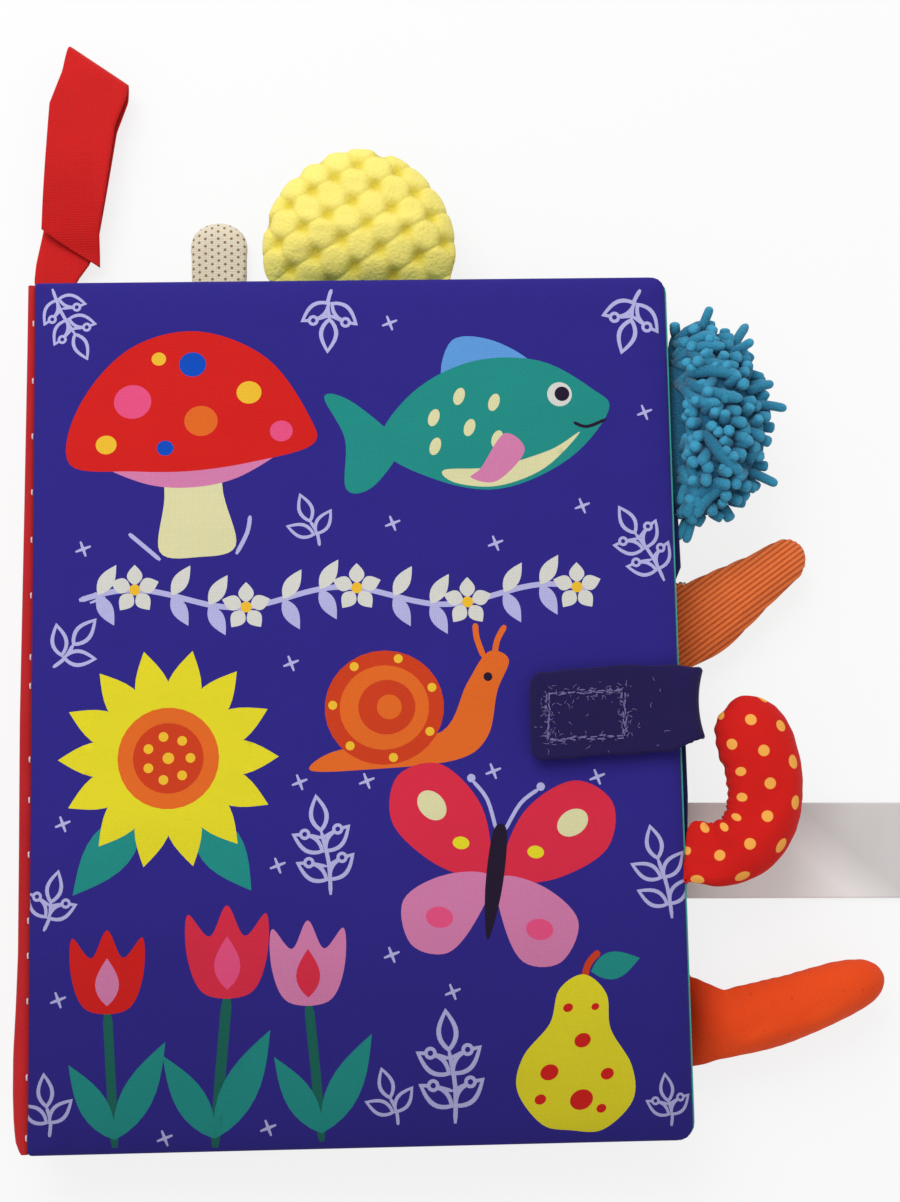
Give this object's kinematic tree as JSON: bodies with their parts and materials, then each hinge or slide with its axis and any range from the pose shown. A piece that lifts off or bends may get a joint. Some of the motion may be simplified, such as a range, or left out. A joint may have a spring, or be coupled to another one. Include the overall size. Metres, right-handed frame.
{
  "type": "crinkle cloth book",
  "caption": "Soft padded cloth book with sewn-in crinkle film, stuffed animal tails along its edges, a hook-and-loop closure strap, a ribbon hang loop and a blank satin label.",
  "frame": {"origin": "on the underside of the back cover, under the middle of that face's flat part", "axes": "+X from the spine to the fore-edge, +Y up the page, +Z from the back cover to the front cover"},
  "size_m": [0.2473, 0.3134, 0.0349],
  "materials": {
    "printed_cotton": "printed indigo cotton",
    "page_cotton": "indigo cotton",
    "lining_cotton": "teal cotton lining",
    "strap_cotton": "navy cotton",
    "red_cotton": "red cotton",
    "spotted_cotton": "red cotton with yellow dots",
    "red_ribbon": "red cotton tape",
    "chenille": "blue chenille",
    "plush": "yellow dimple plush",
    "orange_cotton": "orange cotton",
    "corduroy": "rust corduroy",
    "dotted_cotton": "natural cotton with small dots",
    "satin": "satin ribbon",
    "hook_tape": "hook and loop tape",
    "crinkle_film": "thin crackling film",
    "wadding": "polyester wadding"
  },
  "bodies": {
    "back_cover": {"back_cover_crinkle_film": "crinkle_film", "back_cover_lining": "lining_cotton", "back_cover_outer_panel": "printed_cotton", "back_cover_wadding": "wadding", "spine_gusset_back_cover": "red_cotton", "strap_base": "strap_cotton"},
    "page_4": {"page_4_back_panel": "page_cotton", "page_4_crinkle_film": "crinkle_film", "page_4_front_panel": "page_cotton", "page_4_wadding": "wadding", "spine_gusset_page_4": "red_cotton"},
    "page_3": {"page_3_back_panel": "page_cotton", "page_3_crinkle_film": "crinkle_film", "page_3_front_panel": "page_cotton", "page_3_wadding": "wadding", "spine_gusset_page_3": "red_cotton"},
    "page_2": {"page_2_back_panel": "page_cotton", "page_2_crinkle_film": "crinkle_film", "page_2_front_panel": "page_cotton", "page_2_wadding": "wadding", "spine_gusset_page_2": "red_cotton"},
    "page_1": {"page_1_back_panel": "page_cotton", "page_1_crinkle_film": "crinkle_film", "page_1_front_panel": "page_cotton", "page_1_wadding": "wadding", "spine_gusset_page_1": "red_cotton"},
    "front_cover": {"front_cover_crinkle_film": "crinkle_film", "front_cover_lining": "lining_cotton", "front_cover_outer_panel": "printed_cotton", "front_cover_wadding": "wadding", "spine_gusset_front_cover": "red_cotton", "cover_loop_patch": "hook_tape"},
    "spotted_tail": {"spotted_tail_back": "spotted_cotton", "spotted_tail_front": "spotted_cotton", "spotted_tail_stuffing": "wadding"},
    "chenille_tail": {"chenille_tail_back": "dotted_cotton", "chenille_tail_front": "chenille", "chenille_tail_stuffing": "wadding"},
    "plush_tail": {"plush_tail_back": "dotted_cotton", "plush_tail_front": "plush", "plush_tail_stuffing": "wadding"},
    "orange_tail": {"orange_tail_back": "orange_cotton", "orange_tail_front": "orange_cotton", "orange_tail_stuffing": "wadding"},
    "corduroy_tail": {"corduroy_tail_back": "dotted_cotton", "corduroy_tail_front": "corduroy", "corduroy_tail_stuffing": "wadding"},
    "dotted_tail": {"dotted_tail_back": "dotted_cotton", "dotted_tail_front": "dotted_cotton", "dotted_tail_stuffing": "wadding"},
    "strap_tab": {"strap_tab": "strap_cotton", "strap_hook_patch": "hook_tape"},
    "hang_loop": {"hang_loop": "red_ribbon"},
    "blank_label": {"blank_label": "satin"}
  },
  "joints": [
    {"name": "page_4_turns", "type": "hinge", "parent": "back_cover", "child": "page_4", "pos_m": [-0.0915, 0, 0.00475], "axis": [0, -1, 0], "range_deg": [0, 24]},
    {"name": "page_3_turns", "type": "hinge", "parent": "page_4", "child": "page_3", "pos_m": [-0.0915, 0, 0.00965], "axis": [0, -1, 0], "range_deg": [0, 24]},
    {"name": "page_2_turns", "type": "hinge", "parent": "page_3", "child": "page_2", "pos_m": [-0.0915, 0, 0.01455], "axis": [0, -1, 0], "range_deg": [0, 24]},
    {"name": "page_1_turns", "type": "hinge", "parent": "page_2", "child": "page_1", "pos_m": [-0.0915, 0, 0.01945], "axis": [0, -1, 0], "range_deg": [0, 24]},
    {"name": "front_cover_opens", "type": "hinge", "parent": "page_1", "child": "front_cover", "pos_m": [-0.0915, 0, 0.02435], "axis": [0, -1, 0], "range_deg": [0, 84]},
    {"name": "strap_peels", "type": "hinge", "parent": "back_cover", "child": "strap_tab", "pos_m": [0.0934, -0.0049, 0.0283], "axis": [0, 1, 0], "range_deg": [0, 90], "deforming": ["strap_tab", "strap_hook_patch"]},
    {"name": "spotted_tail_flexes", "type": "hinge", "parent": "front_cover", "child": "spotted_tail", "pos_m": [0.0875, -0.0415, 0.0268], "axis": [0, -1, 0], "range_deg": [-15, 30], "stiffness_Nm_per_rad": 0.03},
    {"name": "chenille_tail_flexes", "type": "hinge", "parent": "page_1", "child": "chenille_tail", "pos_m": [0.0875, 0.077, 0.0219], "axis": [0, -1, 0], "range_deg": [-20, 25], "stiffness_Nm_per_rad": 0.03},
    {"name": "plush_tail_flexes", "type": "hinge", "parent": "page_2", "child": "plush_tail", "pos_m": [0.0022, 0.1175, 0.017], "axis": [1, 0, 0], "range_deg": [-8, 30], "stiffness_Nm_per_rad": 0.03},
    {"name": "orange_tail_flexes", "type": "hinge", "parent": "page_3", "child": "orange_tail", "pos_m": [0.0875, -0.087, 0.0121], "axis": [0, -1, 0], "range_deg": [-5, 25], "stiffness_Nm_per_rad": 0.03},
    {"name": "corduroy_tail_flexes", "type": "hinge", "parent": "page_4", "child": "corduroy_tail", "pos_m": [0.0875, 0.021, 0.0072], "axis": [0, -1, 0], "range_deg": [-1, 30], "stiffness_Nm_per_rad": 0.03},
    {"name": "dotted_tail_flexes", "type": "hinge", "parent": "back_cover", "child": "dotted_tail", "pos_m": [-0.0388, 0.1175, 0.0023], "axis": [1, 0, 0], "range_deg": [0, 30], "stiffness_Nm_per_rad": 0.03},
    {"name": "hang_loop_lifts", "type": "hinge", "parent": "back_cover", "child": "hang_loop", "pos_m": [-0.082, 0.1175, 0.0066], "axis": [1, 0, 0], "range_deg": [0, 75]},
    {"name": "label_lifts", "type": "hinge", "parent": "back_cover", "child": "blank_label", "pos_m": [0.0875, -0.0419, 0.0023], "axis": [0, -1, 0], "range_deg": [0, 22]}
  ]
}
